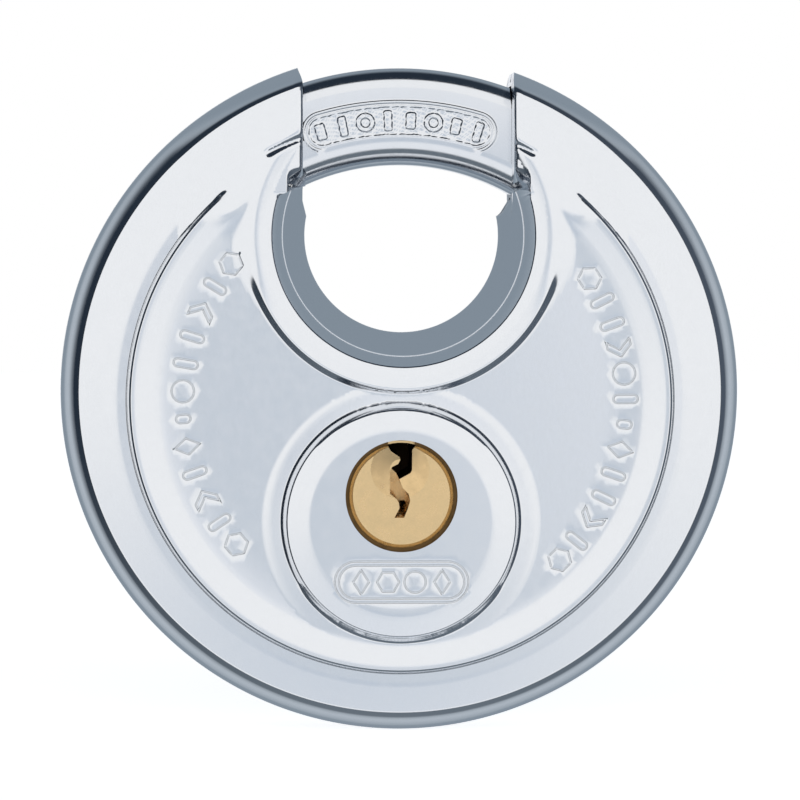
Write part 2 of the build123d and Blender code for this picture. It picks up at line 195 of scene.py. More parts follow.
def front_depth(x, z, step_r, lip_r):
    """Depth of the front face before the edges beside the gap and the marks."""
    high = np.degrees(np.arctan2(z - STEP_Z, np.abs(x)))  # angle above the step's centre
    above = smooth_step(z, *ABOVE_Z)
    corner = smooth_step(high, *CORNER_DEG)
    step = rounded_profile(step_r, STEP_PROFILE)
    step = step + (rounded_profile(step_r, CORNER_PROFILE) - step) * corner * above
    below = (THROAT_Z - z) / np.maximum(lip_r, 1e-6)
    valley = smooth_step(below, *VALLEY_BELOW)
    lip_at = np.where(z > STRAIGHT_Z, np.maximum(lip_r, 13.0 + smooth_step(z, 19.9, 20.5)), lip_r)
    lip = rounded_profile(lip_at, LIP_SIDE_PROFILE)
    lip = lip + (rounded_profile(lip_at, LIP_PROFILE) - lip) * valley
    inner = smooth_step(lip_r, *LIP_END_R)
    outer = smooth_max(step, lip, LIP_BLEND)
    dent = np.exp(-np.square((step_r - DENT_R) / DENT_WIDE))
    dent = DENT_DEEP * dent * smooth_step(high, *DENT_DEG) * above
    face = outer * inner + lip * (1 - inner)
    return smooth_max(face, boss_depth(x, z), BOSS_BLEND) - facet_drop(x, z) - dent


def rear_depth(step_r, lip_r):
    """Depth of the plain rear face."""
    lip = rounded_profile(lip_r, REAR_LIP_PROFILE)
    inner = smooth_step(lip_r, *LIP_END_R)
    return rounded_profile(step_r, REAR_STEP_PROFILE) * inner + lip * (1 - inner)


def face_depth(x, z, front):
    """Depth of a cup's face."""
    step_r = np.hypot(x, z - STEP_Z)
    lip_r = np.hypot(x - THROAT_X, z - THROAT_Z)
    depth = front_depth(x, z, step_r, lip_r) if front else rear_depth(step_r, lip_r)
    depth = depth - gap_drop(x, z)
    return depth - mark_depth(x, z) if front else depth


# ---- generic engraved marks ----
MARK_DEEP = 0.085
MARK_FLOOR, MARK_HALF = 0.03, 0.13  # half widths of a groove at its floor and at the face


def closed_slot(length, height, corner_steps=7):
    """Outline of an upright rounded bar, centred."""
    r = min(length, height) / 2
    points = []
    for quarter in range(4):
        cx = (length / 2 - r) * (1 if quarter in (0, 3) else -1)
        cz = (height / 2 - r) * (1 if quarter in (0, 1) else -1)
        for i in range(corner_steps):
            a = (quarter + i / (corner_steps - 1)) * pi / 2
            points.append((cx + r * cos(a), cz + r * sin(a)))
    return points


def polygon_mark(sides, radius):
    """Outline of a regular polygon."""
    return [(radius * cos(2 * pi * i / sides), radius * sin(2 * pi * i / sides)) for i in range(sides)]


def chevron(width, height, thick):
    """Outline of an arrow-like bend."""
    w, h = width / 2, height / 2
    return [(-w, -h), (-w + thick, -h), (w, 0), (-w + thick, h), (-w, h), (w - thick, 0)]


SHAPES = {
    "slot": closed_slot(0.85, 2.5),
    "short": closed_slot(0.85, 1.5),
    "hex": polygon_mark(6, 1.2),
    "ring": polygon_mark(20, 1.15),
    "lozenge": [(0, 1.3), (0.85, 0), (0, -1.3), (-0.85, 0)],
    "chevron": chevron(1.7, 2.4, 0.7),
}


def place_on_arc(shape, radius, angle_deg):
    """Moves a mark to a place on a circle about the step's centre, its top pointing out."""
    a = radians(angle_deg)
    up = (cos(a), sin(a))
    side = (up[1], -up[0])
    cx, cz = radius * cos(a), STEP_Z + radius * sin(a)
    return [(cx + px * side[0] + pz * up[0], cz + px * side[1] + pz * up[1]) for px, pz in shape]


LEFT_KINDS = (
    "hex", "slot", "chevron", "slot", "slot", "ring", "short", "lozenge", "slot", "chevron", "slot", "hex",
)
RIGHT_KINDS = (
    "hex", "slot", "slot", "chevron", "ring", "slot", "short", "lozenge", "slot", "slot", "chevron", "slot",
    "hex",
)
LEFT_ARC = (141.0, 221.0, 22.3)  # first and last angle, and radius
RIGHT_ARC = (33.0, -45.0, 23.0)
PANEL = (0.0, -19.15, 13.6, 4.2)  # centre and size of the oblong on the boss
PANEL_KINDS = ("lozenge", "hex", "ring", "lozenge")
PANEL_PITCH, PANEL_SCALE, PANEL_INSET = 2.75, 0.95, 0.42


def front_marks():
    """Closed outlines engraved in the front face."""
    marks = []
    for kinds, (start, end, radius) in ((LEFT_KINDS, LEFT_ARC), (RIGHT_KINDS, RIGHT_ARC)):
        for i, kind in enumerate(kinds):
            angle = start + (end - start) * i / (len(kinds) - 1)
            marks.append(place_on_arc(SHAPES[kind], radius, angle))
    cx, cz, wide, high = PANEL
    for inset in (0.0, PANEL_INSET):
        shape = closed_slot(wide - 2 * inset, high - 2 * inset, 12)
        marks.append([(cx + px, cz + pz) for px, pz in shape])
    for i, kind in enumerate(PANEL_KINDS):
        at = cx + (i - (len(PANEL_KINDS) - 1) / 2) * PANEL_PITCH
        marks.append([(at + PANEL_SCALE * px, cz + PANEL_SCALE * pz) for px, pz in SHAPES[kind]])
    return [np.array(m) for m in marks]


MARKS = front_marks()


def distance_to_outline(x, z, outline):
    """Distance of each point from a closed outline."""
    best = np.full(x.shape, 1e9)
    for a, b in zip(outline, np.roll(outline, -1, axis=0)):
        d = b - a
        t = np.clip(((x - a[0]) * d[0] + (z - a[1]) * d[1]) / max(d @ d, 1e-9), 0.0, 1.0)
        best = np.minimum(best, np.hypot(x - a[0] - t * d[0], z - a[1] - t * d[1]))
    return best


def mark_depth(x, z):
    """Depth of the engraving at each point."""
    deep = np.zeros(x.shape)
    for outline in MARKS:
        low, high = outline.min(axis=0) - 2 * MARK_HALF, outline.max(axis=0) + 2 * MARK_HALF
        near = (x > low[0]) & (x < high[0]) & (z > low[1]) & (z < high[1])
        if not near.any():
            continue
        away = distance_to_outline(x[near], z[near], outline)
        deep[near] = np.maximum(deep[near], MARK_DEEP * (1 - smooth_step(away, MARK_FLOOR, MARK_HALF)))
    return deep


def rows_along(outline, offsets, spacing):
    """Points beside a closed outline, in rows at each offset from it."""
    points = []
    for a, b in zip(outline, np.roll(outline, -1, axis=0)):
        d = b - a
        length = hypot(*d)
        if length < 1e-6:
            continue
        side = np.array((-d[1], d[0])) / length
        for t in np.arange(0, length, spacing) / length:
            for o in offsets:
                points.append(a + t * d + o * side)
    return points


# ---- patches ----
class Patches:
    """Collects patches of a closed skin: points, faces and a normal for each face corner."""

    def __init__(self):
        self.points, self.faces, self.normals, self.count = [], [], [], 0

    def add(self, points, faces, normals):
        """normals holds one vector for each point, or one for the whole patch."""
        points = np.asarray(points, float)
        normals = np.broadcast_to(np.asarray(normals, float), points.shape)
        self.points.append(points)
        for f in faces:
            self.faces.append([i + self.count for i in f])
            self.normals.append([normals[i] for i in f])
        self.count += len(points)

    def strip(self, rows, closed=False, flip=False):
        """Quads between rows of points, with smooth normals from the grid."""
        grid = np.asarray(rows, float)
        along = np.gradient(grid, axis=0)
        if closed:
            across = (np.roll(grid, -1, axis=1) - np.roll(grid, 1, axis=1)) / 2
        else:
            across = np.gradient(grid, axis=1)
        normal = np.cross(along, across)
        normal /= np.maximum(np.linalg.norm(normal, axis=2, keepdims=True), 1e-12)
        m, n = grid.shape[:2]
        faces = []
        for i in range(m - 1):
            for j in range(n if closed else n - 1):
                k = (j + 1) % n
                quad = [i * n + j, (i + 1) * n + j, (i + 1) * n + k, i * n + k]
                faces.append(quad[::-1] if flip else quad)
        self.add(grid.reshape(-1, 3), faces, (-normal if flip else normal).reshape(-1, 3))


def weld(skin):
    """Points, faces and corner normals of the patches, with points that coincide joined."""
    points = np.vstack(skin.points)
    keys = np.round(points / JOIN_STEP).astype(np.int64)
    _, first, inverse = np.unique(keys, axis=0, return_index=True, return_inverse=True)
    inverse = inverse.reshape(-1)
    out_faces, out_normals = [], []
    for f, n in zip(skin.faces, skin.normals):
        g, h = [], []
        for i, v in zip((inverse[i] for i in f), n):
            if i not in g:
                g.append(int(i))
                h.append(v)
        if len(g) > 2:
            out_faces.append(g)
            out_normals.append(h)
    return points[first], out_faces, out_normals


def thicken(points, faces, normals, thick):
    """Gives a skin its inner side and closes it along its free edges."""
    push = np.zeros(points.shape)
    for f, n in zip(faces, normals):
        for i, v in zip(f, n):
            push[i] += v
    push /= np.maximum(np.linalg.norm(push, axis=1, keepdims=True), 1e-9)
    total = len(points)
    both = np.vstack([points, points - push * thick])
    edges = {}
    for f in faces:
        for a, b in zip(f, f[1:] + f[:1]):
            edges[(a, b)] = edges.get((a, b), 0) + 1
    new_faces = [list(f) for f in faces]
    new_normals = [list(n) for n in normals]
    for f in faces:
        back = [i + total for i in reversed(f)]
        new_faces.append(back)
        new_normals.append([-push[i - total] for i in back])
    for a, b in edges:
        if (b, a) in edges:
            continue
        quad = [b, a, a + total, b + total]
        side = np.cross(both[quad[1]] - both[quad[0]], both[quad[2]] - both[quad[0]])
        side /= max(np.linalg.norm(side), 1e-12)
        new_faces.append(quad)
        new_normals.append([side] * 4)
    return both, new_faces, new_normals


def make_object(name, points, faces, normals, rear=False):
    """Mesh object from points in drawing coordinates (x, depth, z)."""
    points = np.asarray(points, float)
    sign = 1.0 if rear else -1.0
    placed = np.stack([points[:, 0], SEAM_Y_MM + sign * points[:, 1], points[:, 2]], axis=1) * MM
    turned = []
    for f, n in zip(faces, normals):
        pairs = [(i, (v[0], sign * v[1], v[2])) for i, v in zip(f, n)]
        turned.append(pairs if rear else pairs[::-1])
    mesh = bpy.data.meshes.new(name)
    mesh.from_pydata([tuple(p) for p in placed], [], [[i for i, _ in pairs] for pairs in turned])
    mesh.polygons.foreach_set("use_smooth", [True] * len(mesh.polygons))
    mesh.update()
    mesh.normals_split_custom_set([v for pairs in turned for _, v in pairs])
    obj = bpy.data.objects.new(name, mesh)
    bpy.context.scene.collection.objects.link(obj)
    return obj


# ---- the cups ----
def gap_plane(side, z):
    """x of one side of the gap (0 left, 1 right) at a height; it spreads a little at the rim."""
    spread = GAP_FLARE[side] * smooth_step(z, *GAP_FLARE_Z)
    return GAP_X[side] + (spread if side else -spread)


def gap_corner(side, radius):
    """Where a circle about the origin meets one side of the gap."""
    x = GAP_X[side]
    for _ in range(8):
        x = float(gap_plane(side, sqrt(radius ** 2 - x ** 2)))
    return x


def rim_angles(radius):
    """Angles round the rim at one radius, from the left of the gap round the bottom to its right."""
    start = acos(gap_corner(0, radius) / radius)
    end = acos(gap_corner(1, radius) / radius) + 2 * pi
    return start + (end - start) * np.linspace(0, 1, COLUMNS + 1)


def lip_angles(radius):
    """Angles round the throat at one radius, from the right of the gap round the bottom to its left."""
    start = acos((GAP_X[1] - THROAT_X) / radius)
    end = -pi - acos(-(GAP_X[0] - THROAT_X) / radius)
    return start + (end - start) * np.linspace(0, 1, LIP_COLUMNS + 1)


def on_throat(radius, angles):
    """Points (x, z) of a circle about the throat's centre."""
    return np.stack([THROAT_X + radius * np.cos(angles), THROAT_Z + radius * np.sin(angles)], axis=1)


def lip_path(front):
    """The face's edge round the throat, from right to left of the gap. The front's turns in at its ends."""
    if not front:
        return on_throat(LIP_R, lip_angles(LIP_R))
    leave = asin((LIP_LEAVE_Z - THROAT_Z) / LIP_R)
    arc = on_throat(LIP_R, np.linspace(leave, -pi - leave, LIP_COLUMNS + 1 - 2 * LIP_END_STEPS))
    ends = []
    for side, tip in ((1, arc[0]), (0, arc[-1])):
        out = 1 if side else -1
        knots = [tip, (tip[0] - out * 0.22, tip[1] + 0.5), (GAP_X[side] + out * 1.75, 20.45),
                 (GAP_X[side] + out * 1.3, 20.72), (GAP_X[side], FACET_LOW_Z)]
        spread = np.linspace(0, len(knots) - 1, LIP_END_STEPS + 1)[1:]
        places = range(len(knots))
        ends.append(np.stack([np.interp(spread, places, [k[i] for k in knots]) for i in (0, 1)], axis=1))
    return np.vstack([ends[0][::-1], arc, ends[1]])


def circle_points(cx, cz, radius, spacing):
    """Points round a circle, at most a spacing apart."""
    n = int(ceil(2 * pi * radius / spacing))
    a = np.arange(n) * 2 * pi / n
    return np.stack([cx + radius * np.cos(a), cz + radius * np.sin(a)], axis=1)


def in_face(p, margin, outline):
    """Which points lie inside a closed outline by a margin."""
    x, z = p[:, 0], p[:, 1]
    inside = np.zeros(len(p), bool)
    for a, b in zip(outline, np.roll(outline, -1, axis=0)):
        if a[1] != b[1]:
            crosses = (a[1] > z) != (b[1] > z)
            inside ^= crosses & (a[0] + (z - a[1]) * (b[0] - a[0]) / (b[1] - a[1]) > x)
    if margin:
        inside &= distance_to_outline(x, z, outline) > margin
    return inside


def thinned(groups, cell):
    """Joins groups of (points, gap), leaving out points nearer than their gap to one already kept."""
    kept, cells = [], {}
    for points, gap in groups:
        reach = int(ceil(gap / cell))
        for x, z in points.tolist():
            cx, cz = int(x // cell), int(z // cell)
            near = (q for i in range(cx - reach, cx + reach + 1) for j in range(cz - reach, cz + reach + 1)
                    for q in cells.get((i, j), ()))
            if not any((q[0] - x) ** 2 + (q[1] - z) ** 2 < gap * gap for q in near):
                kept.append((x, z))
                cells.setdefault((cx, cz), []).append((x, z))
    return kept


def triangulated(points, loops):
    """Delaunay triangles of points that begin with those of some closed loops, which stay as edges."""
    edges, start = [], 0
    for loop in loops:
        edges += [(start + i, start + (i + 1) % len(loop)) for i in range(len(loop))]
        start += len(loop)
    verts, _, faces, _, _, _ = delaunay_2d_cdt([Vector(p) for p in points], edges, [], 0, 1e-5)
    return np.array([tuple(v) for v in verts]), [list(f) for f in faces]


def face_normals(x, z, front):
    """Normals of the face in drawing coordinates, out of the cup."""
    eps = NORMAL_STEP
    dx = (face_depth(x + eps, z, front) - face_depth(x - eps, z, front)) / (2 * eps)
    dz = (face_depth(x, z + eps, front) - face_depth(x, z - eps, front)) / (2 * eps)
    n = np.stack([-dx, np.ones(x.shape), -dz], axis=1)
    return n / np.linalg.norm(n, axis=1, keepdims=True)


def inside_x(x, z):
    """Moves points a hair off the gap's planes so that edge normals look inwards along the face."""
    beside = np.where(x < 0, np.minimum(x, GAP_X[0] - 0.03), np.maximum(x, GAP_X[1] + 0.03))
    return np.where(z > THROAT_Z + 4, beside, x)


def cup_outline(front):
    """The face's outline: rim, right of the gap, throat, left of the gap."""
    a = rim_angles(FACE_END_R)
    rim = np.stack([FACE_END_R * np.cos(a), FACE_END_R * np.sin(a)], axis=1)
    lip = lip_path(front)
    sides = []
    for side, top, low in ((1, rim[-1], lip[0]), (0, rim[0], lip[-1])):
        z = np.linspace(top[1], low[1], 42)[1:-1]
        sides.append(np.stack([gap_plane(side, z), z], axis=1))
    return rim, sides[0], lip, sides[1][::-1]


# Radii of the rings of mesh points about the disc, step, throat, plug and boss, and distances of the columns
# beside the gap. They are close together where the face bends.
OUTER_RINGS = (32.3, 31.6, 30.8)
STEP_RINGS = (
    29.6, 29.2, 28.9, 28.6, 28.4, 28.27, 28.19, 28.13, 28.07, 28.0, 27.93, 27.84, 27.77, 27.7, 27.64, 27.58,
    27.52, 27.45, 27.3, 27.1, 26.8, 26.4, 26.0, 25.4, 25.0, 24.6, 24.0,
)
THROAT_RINGS = (
    13.49, 13.58, 13.7, 13.84, 14.0, 14.25, 14.6, 15.0, 15.3, 15.55, 15.7, 15.82, 15.95, 16.1, 16.25, 16.4,
    16.6, 16.9, 17.3, 17.8, 18.4,
)
PLUG_RINGS = (5.78, 5.9, 6.2)
BOSS_RINGS = (
    9.1, 9.4, 9.7, 10.2, 10.8, 11.25, 11.4, 11.55, 11.7, 11.82, 11.95, 12.15, 12.4, 12.6, 12.8, 13.1, 13.5,
    13.9, 14.4,
)
GAP_COLUMNS = (0.07, 0.15, 0.25, 0.36, 0.48, 0.8)
MARK_ROWS = (-MARK_HALF, -MARK_HALF / 2, 0.0, MARK_HALF / 2, MARK_HALF)
EDGE_CLEAR = 0.05  # inner points stay this far from the outline and the hole


def ring_points(front):
    """Rings of points along the round bends."""
    rings = [circle_points(0, 0, r, 0.42) for r in OUTER_RINGS]
    rings += [circle_points(0, STEP_Z, r, STEP_SPACING * r) for r in STEP_RINGS]
    rings += [circle_points(THROAT_X, THROAT_Z, r, THROAT_SPACING * r) for r in THROAT_RINGS]
    if front:
        rings += [circle_points(0, PLUG_Z, r, 0.28) for r in PLUG_RINGS]
        rings += [circle_points(0, BOSS_Z, r, BOSS_SPACING * r) for r in BOSS_RINGS]
    return np.vstack(rings)


def column_points():
    """Columns of points beside the gap and on its facets."""
    tall, short = np.arange(21.1, 33.3, 0.28), np.arange(19.6, 27.2, 0.2)
    columns = []
    for plane_x, out in ((GAP_X[0], -1), (GAP_X[1], 1)):
        for away in GAP_COLUMNS:
            columns.append(np.stack([np.full(tall.shape, plane_x + out * away), tall], axis=1))
        for away in np.arange(0.2, 3.2, 0.17):
            columns.append(np.stack([np.full(short.shape, plane_x + out * away), short], axis=1))
    return np.vstack(columns)


def fill_points():
    """Staggered rows of points over the rest of the face."""
    rows = []
    for i, z in enumerate(np.arange(-34, 34, 0.52)):
        x = np.arange(-34, 34, 0.6) + (0.3 if i % 2 else 0.0)
        rows.append(np.stack([x, np.full(x.shape, z)], axis=1))
    return np.vstack(rows)


def cup_face_points(front):
    """Outline and inner points of the face, and the loops they begin with."""
    loops = [np.vstack(cup_outline(front))]
    groups = []
    if front:
        loops.append(circle_points(0, PLUG_Z, PLUG_HOLE_R, PLUG_HOLE_SPACING))
        marks = np.array([p for outline in MARKS for p in rows_along(outline, MARK_ROWS, 0.15)])
        groups.append((marks[in_face(marks, EDGE_CLEAR, loops[0])], 0.045))
    for points, gap in ((column_points(), 0.07), (ring_points(front), 0.05), (fill_points(), 0.36)):
        points = points[in_face(points, EDGE_CLEAR, loops[0])]
        if front:
            points = points[np.hypot(points[:, 0], points[:, 1] - PLUG_Z) > PLUG_HOLE_R + EDGE_CLEAR]
        groups.append((points, gap))
    return thinned([(loop, 0.0) for loop in loops] + groups, 0.2), loops


def wound_faces(flat, faces, turn):
    """The faces turned so that their area in (x, z) or (depth, z) has the sign of turn."""
    wound = []
    for f in faces:
        a, b, c = flat[f[0]], flat[f[1]], flat[f[2]]
        area = (b[0] - a[0]) * (c[1] - a[1]) - (b[1] - a[1]) * (c[0] - a[0])
        wound.append(f if area * turn > 0 else f[::-1])
    return wound


def add_face(skin, front):
    """The cup's face."""
    points, loops = cup_face_points(front)
    flat, faces = triangulated(points, loops)
    x, z = flat[:, 0], flat[:, 1]
    centres = np.array([flat[f].mean(axis=0) for f in faces])
    keep = in_face(centres, 0.0, loops[0])
    if front:
        keep &= ~in_face(centres, 0.0, loops[1])
    faces = [f for f, k in zip(faces, keep) if k]
    skin.add(with_depth(flat, front), wound_faces(flat, faces, -1), face_normals(inside_x(x, z), z, front))


def rim_profile():
    """(radius, drop) to the rolled edge, down it and down the rim."""
    flat = [(r, 0.0) for r in (32.68, 32.76, 32.82, ROLL_START_R)]
    radii = np.concatenate([np.linspace(a[0], b[0], ROLL_STEPS + 1)[1:] for a, b in zip(ROLL, ROLL[1:])])
    slopes = np.tan(np.radians(np.interp(radii, [k[0] for k in ROLL], [k[1] for k in ROLL])))
    steps = np.diff(np.concatenate([[ROLL_START_R], radii]))
    drops = np.cumsum(slopes * steps)
    low = float(drops[-1])
    top = float(face_depth(np.array([0.0]), np.array([-ROLL_START_R]), False)[0])
    profile = flat + [(float(r), float(d)) for r, d in zip(radii, drops)]
    profile += [(DISC_R, d) for d in np.linspace(low, top - WELD_HALF - 0.15, 6)[1:]]
    return profile + [(DISC_R - 0.05, top - WELD_HALF - 0.04), (DISC_R - 0.15, top - WELD_HALF)]


def add_rim(skin, front):
    """The rolled edge and the rim. Returns its end columns."""
    rim = cup_outline(front)[0]
    rows = [with_depth(rim, front)]
    a = rim_angles(ROLL_START_R)
    base = face_depth(ROLL_START_R * np.cos(a), ROLL_START_R * np.sin(a), front)
    low = float(base[COLUMNS // 2])
    for radius, drop in rim_profile():
        a = rim_angles(radius)
        x, z = radius * np.cos(a), radius * np.sin(a)
        if drop == 0.0:
            depth = face_depth(x, z, front)
        else:
            settle = smooth_step(drop, 0.0, 2.5)
            depth = (base + (low - base) * settle) - drop
        rows.append(np.stack([x, depth, z], axis=1))
    skin.strip(rows, flip=True)
    rows = np.array(rows)
    return rows[:, 0], rows[:, -1]


def liner_r(depth):
    """Radius of the liner's inner side at a depth."""
    return THROAT_MID_R + THROAT_SLOPE * depth


def add_flange(skin, front):
    """The throat's edge rolled back to the liner. Returns its end columns."""
    lip = cup_outline(front)[2]
    depth = face_depth(lip[:, 0], lip[:, 1], front)
    end_r = liner_r(FLANGE_END) + 0.05
    inner = on_throat(end_r, lip_angles(end_r))
    rows = [np.stack([lip[:, 0], depth, lip[:, 1]], axis=1)]
    for t in (0.12, 0.3, 0.5, 0.7, 0.85, 0.95, 1.0):
        across = 0.35 * t + 0.65 * (1 - (1 - t) ** 1.3)
        flat = lip + (inner - lip) * across
        rows.append(np.stack([flat[:, 0], depth + (FLANGE_END - depth) * t, flat[:, 1]], axis=1))
    curl = inner + (lip - inner) * 0.08
    rows.append(np.stack([curl[:, 0], np.full(len(curl), FLANGE_END - 0.15), curl[:, 1]], axis=1))
    skin.strip(rows, flip=True)
    rows = np.array(rows)
    return rows[:, 0], rows[:, -1]


def bar_half_wide(depth, gap):
    """Half width across the arc of the bar's rounded section at a depth, grown by gap."""
    deep = BAR_HALF_DEEP + gap
    wide = BAR_HALF_WIDE + gap
    corner = BAR_CORNER + gap
    over = max(0.0, depth - (deep - corner))
    return wide - corner + sqrt(max(corner ** 2 - over ** 2, 0.0))


def z_on_plane(plane_x, radius):
    """Height at which a circle about the origin meets a plane of the gap."""
    return sqrt(radius ** 2 - plane_x ** 2)


def gap_polygon(side, rim_column, edge, lip_column):
    """Outline of a gap face in (depth, z): rim, seam, shackle tunnel, liner, throat edge, face edge."""
    plane_x = GAP_X[side]
    offset = abs(plane_x - THROAT_X)
    outline = [(p[1], p[2]) for p in rim_column]
    deep = BAR_HALF_DEEP + TUNNEL_GAP
    outline.append((SEAM_CLEAR, rim_column[-1][2]))
    for i in range(25):
        d = deep * sin(pi / 2 * i / 24)
        top = z_on_plane(plane_x, ARC_R + bar_half_wide(d, TUNNEL_GAP) - 0.001)
        outline.append((max(d, SEAM_CLEAR), top))
    low_d = deep - 0.02
    liner = []
    for d in np.linspace(low_d, FLANGE_END, 12):
        liner.append((d, THROAT_Z + sqrt((liner_r(d) + LINER_WALL + 0.03) ** 2 - offset ** 2)))
    side_top, side_low = outline[-1][1], liner[0][1]
    for t in np.linspace(0, 1, 6)[1:-1]:
        outline.append((deep, side_top + (side_low - side_top) * t))
    outline += liner
    outline += [(p[1], p[2]) for p in lip_column[::-1]]
    outline += [(p[1], p[2]) for p in edge]
    return outline


def add_gap_face(skin, side, rim_column, edge, lip_column):
    """Flat side of the gap with the hole the shackle goes through."""
    outline = gap_polygon(side, rim_column, edge, lip_column)
    flat, faces = triangulated(outline, [outline])
    inside = in_face(np.array([flat[f].mean(axis=0) for f in faces]), 0.0, np.array(outline))
    faces = [f for f, k in zip(faces, inside) if k]
    points = np.stack([gap_plane(side, flat[:, 1]), flat[:, 0], flat[:, 1]], axis=1)
    outward = -1.0 if side else 1.0
    skin.add(points, wound_faces(flat, faces, outward), (outward, 0.0, 0.0))


def add_plug_hole(skin):
    """Wall of the hole round the plug."""
    ring = circle_points(0, PLUG_Z, PLUG_HOLE_R, PLUG_HOLE_SPACING)
    top = face_depth(ring[:, 0], ring[:, 1], True)
    rows = [np.stack([ring[:, 0], top, ring[:, 1]], axis=1)]
    for back in (0.05, 0.6, 1.1):
        rows.append(np.stack([ring[:, 0], top - back, ring[:, 1]], axis=1))
    skin.strip(rows, closed=True)


def with_depth(points, front):
    """Points (x, z) laid on the face."""
    x, z = points[:, 0], points[:, 1]
    return np.stack([x, face_depth(x, z, front), z], axis=1)


def build_cup(name, front):
    """One drawn cup with its marks, rim, throat edge and gap faces."""
    skin = Patches()
    add_face(skin, front)
    rim_left, rim_right = add_rim(skin, front)
    lip_right, lip_left = add_flange(skin, front)
    _, right, _, left = cup_outline(front)
    add_gap_face(skin, 0, rim_left, with_depth(left, front), lip_left)
    add_gap_face(skin, 1, rim_right, with_depth(right[::-1], front), lip_right)
    if front:
        add_plug_hole(skin)
    return make_object(name, *thicken(*weld(skin), SHEET_SHOWN), rear=not front)


# ---- throat liner ----
def liner_end_angle(depth, radius, side):
    """Angle at which a skin of the liner ends on one side (0 left, 1 right) at a depth."""
    plane_x = GAP_X[side]
    up = sqrt(max(radius ** 2 - (plane_x - THROAT_X) ** 2, 0.0))
    z = max(LINER_TOP_Z, THROAT_Z + up)
    deep = abs(depth)
    if deep < BAR_HALF_DEEP + TUNNEL_GAP:
        z = min(z, z_on_plane(plane_x, ARC_R - bar_half_wide(deep, TUNNEL_GAP)) - 0.02)
    a = float(np.arcsin(np.clip((z - THROAT_Z) / radius, -1, 1)))
    return a if side else -pi - a


def build_liner():
    """V-shaped band round the throat, as a closed solid."""
    outer_part = np.linspace(1.2, LINER_DEPTH, 16)
    depths = np.concatenate([-outer_part[::-1], np.linspace(-1.0, 1.0, 9), outer_part])
    soft = 0.5  # the ridge at the seam is rounded over this half width
    skins = []
    for wall in (0.0, LINER_WALL):
        rows = []
        for d in depths:
            lift = abs(d) if abs(d) > soft else (d * d + soft * soft) / (2 * soft)
            radius = liner_r(lift) + wall
            a = np.linspace(liner_end_angle(d, radius, 1), liner_end_angle(d, radius, 0), 220)
            flat = on_throat(radius, a)
            rows.append(np.stack([flat[:, 0], np.full(a.shape, d), flat[:, 1]], axis=1))
        skins.append(np.array(rows))
    inner, outer = skins
    body = Patches()
    body.strip(inner)
    body.strip(outer, flip=True)
    for i, flip in ((0, True), (-1, False)):
        body.strip(np.array([inner[i], outer[i]]), flip=flip)
    for j, flip in ((0, False), (-1, True)):
        body.strip(np.array([inner[:, j], outer[:, j]]), flip=flip)
    return make_object("throat_liner_band", *weld(body))


BEAD_R, BEAD_HALF, BEAD_RIPPLE = 34.52, 0.45, 0.012


def build_weld():
    """The ground weld bead in the groove between the cups."""
    rows = []
    for turn in np.radians(np.linspace(-165, 165, 23)):
        radius = BEAD_R + BEAD_HALF * cos(turn)
        a = rim_angles(radius)
        ripple = BEAD_RIPPLE * np.sin(a * 420 + 2.5 * np.sin(a * 37)) * max(0.0, cos(turn))
        r = radius + ripple
        depth = np.full(a.shape, BEAD_HALF * sin(turn))
        rows.append(np.stack([r * np.cos(a), depth, r * np.sin(a)], axis=1))
    bead = Patches()
    bead.strip(rows)
    for j, flip in ((0, False), (-1, True)):
        column = np.array(rows)[:, j]
        middle = column.mean(axis=0)
        bead.strip([column, np.repeat(middle[None], len(column), axis=0)], flip=flip)
    return make_object("weld_bead", *weld(bead))


# ---- shackle ----
PANEL_R, PANEL_HALF_DEG, PANEL_HALF = 27.95, 20.5, 1.95
FINE_HALF_DEG, FINE_DEG = 23.0, 0.22  # the sections are this close together along the panel
RIDGE_UP, SECOND_UP, SECOND_IN, FLOOR_DEEP = 0.10, 0.07, 0.42, 0.05
BAR_MARKS, BAR_PITCH, BAR_MARK_UP = 8, 2.35, 0.14
RING_MARK_R, RING_MARK_HALF = 0.72, (0.14, 0.34)
GRAIN_UP = 0.016
CROWN = 0.16
HEEL_FLAT_DEG, HEEL_FLAT_DEPTH = -43.0, -3.98


def bar_section():
    """(across, depth) round the bar's section, starting at its outer side."""
    points = []
    outer_w, inner_w = BAR_HALF_WIDE - BAR_CORNER, BAR_HALF_WIDE - BAR_INNER_CORNER
    for sx, sd, start in ((1, 1, 0), (-1, 1, 90), (-1, -1, 180), (1, -1, 270)):
        corner = BAR_CORNER if sx > 0 else BAR_INNER_CORNER
        for i in range(15):
            a = radians(start + 90 * i / 14)
            cx, cd = sx * (BAR_HALF_WIDE - corner), sd * (BAR_HALF_DEEP - corner)
            points.append((cx + corner * cos(a), cd + corner * sin(a)))
        if start == 0:
            points += [(w, BAR_HALF_DEEP) for w in np.linspace(outer_w, -inner_w, 72)[1:-1]]
        elif start == 180:
            points += [(w, -BAR_HALF_DEEP) for w in np.linspace(-inner_w, outer_w, 12)[1:-1]]
    return np.array(points)


